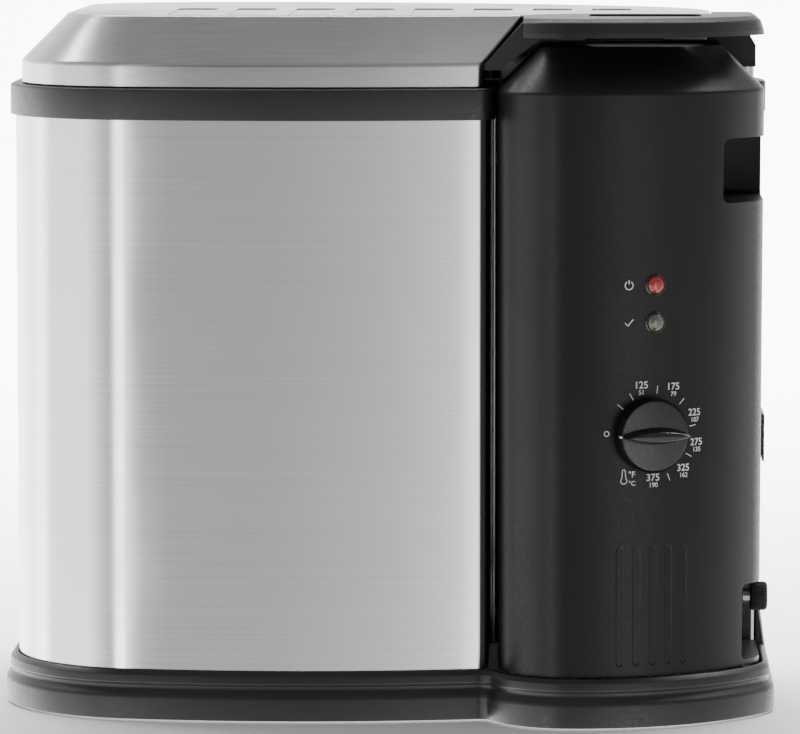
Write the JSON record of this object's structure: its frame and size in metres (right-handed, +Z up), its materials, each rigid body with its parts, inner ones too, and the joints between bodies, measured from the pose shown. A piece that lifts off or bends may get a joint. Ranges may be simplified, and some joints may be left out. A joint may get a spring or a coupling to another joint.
{
  "type": "electric turkey fryer",
  "caption": "Lidded indoor electric turkey fryer: rounded brushed steel housing on a black base, lift-out control head with immersed element, wire basket, vented lid with bridging handle.",
  "frame": {"origin": "centre of the fryer's footprint, on the surface that its feet stand on", "axes": "+Z up, front of the fryer with its control face towards -Y, control head at +X"},
  "size_m": [0.4278, 0.3558, 0.3825],
  "materials": {
    "brushed_steel": "satin, fine horizontal brushing",
    "polished_steel": "bright pressed sheet",
    "lid_steel": "satin pressed sheet",
    "black_plastic": "fine moulded texture",
    "gloss_black": "smooth moulded",
    "black_rubber": "moulded",
    "zinc": "zinc plated",
    "brass": "turned",
    "aluminised_sheet": "mill finish",
    "cream_plastic": "heat-proof moulding",
    "red_lens": "clear red",
    "clear_lens": "clear, slightly green",
    "element_sheath": "heat-darkened",
    "basket_wire": "bright plated",
    "live_wire": "insulation",
    "neutral_wire": "insulation",
    "earth_wire": "insulation",
    "red_button": "moulded"
  },
  "bodies": {
    "housing": {"base_plinth": "black_plastic", "bottom_plate": "aluminised_sheet", "outer_wrap": "brushed_steel", "top_band": "black_plastic", "inner_pot": "polished_steel", "drain_pipe": "zinc", "drain_washer": "black_rubber", "drain_nut": "brass", "cap_tether": "black_rubber", "base_screw_1": "zinc", "base_screw_2": "zinc", "base_screw_3": "zinc", "base_screw_4": "zinc", "foot_front_left": "black_rubber", "foot_front_right": "black_rubber", "foot_rear_left": "black_rubber", "foot_rear_right": "black_rubber"},
    "drain_cap": {"drain_cap": "black_rubber"},
    "control_head": {"cover_screw_1": "zinc", "cover_screw_2": "zinc", "cover_screw_3": "zinc", "cover_screw_4": "zinc", "earth_wire": "earth_wire", "element_bracket": "brushed_steel", "element_junction": "brushed_steel", "head_back_cover": "black_plastic", "head_shell": "black_plastic", "heating_element": "element_sheath", "inlet_contact_1": "brass", "inlet_contact_2": "brass", "inlet_contact_3": "brass", "limit_switch": "cream_plastic", "live_wire": "live_wire", "neutral_wire": "neutral_wire", "power_inlet": "gloss_black", "power_lamp_holder": "black_plastic", "power_lamp_lens": "red_lens", "ready_lamp_holder": "black_plastic", "ready_lamp_lens": "clear_lens", "terminal_block": "cream_plastic", "thermostat": "cream_plastic", "thermostat_probe": "brushed_steel"},
    "knob": {"thermostat_knob": "gloss_black", "thermostat_shaft": "zinc"},
    "reset_button": {"reset_button": "red_button"},
    "basket": {"basket": "basket_wire", "basket_ear_front": "brushed_steel", "basket_ear_rear": "brushed_steel"},
    "basket_bail": {"basket_bail": "polished_steel"},
    "lid": {"lid_shell": "lid_steel", "vent_grille": "lid_steel", "lid_handle": "black_plastic", "handle_screw_1": "zinc", "handle_screw_2": "zinc"}
  },
  "joints": [
    {"name": "head_lift", "type": "slide", "parent": "housing", "child": "control_head", "axis": [0, 0, 1], "range_m": [0, 0.3]},
    {"name": "basket_lift", "type": "slide", "parent": "control_head", "child": "basket", "axis": [0, 0, 1], "range_m": [0, 0.28]},
    {"name": "lid_lift", "type": "slide", "parent": "basket", "child": "lid", "axis": [0, 0, 1], "range_m": [0, 0.15]},
    {"name": "bail_fold", "type": "hinge", "parent": "basket", "child": "basket_bail", "pos_m": [-0.066, 0.01, 0.316], "axis": [0, 1, 0], "range_deg": [0, 90]},
    {"name": "knob_turn", "type": "hinge", "parent": "control_head", "child": "knob", "pos_m": [0.14356, -0.15471, 0.1592], "axis": [-0.3567, 0.9342, 0], "range_deg": [0, 270]},
    {"name": "reset_press", "type": "slide", "parent": "control_head", "child": "reset_button", "axis": [0, -1, 0], "range_m": [0, 0.0015], "stiffness_N_per_m": 400},
    {"name": "drain_cap_pull", "type": "slide", "parent": "housing", "child": "drain_cap", "axis": [1, 0, 0], "range_m": [0, 0.02]}
  ]
}
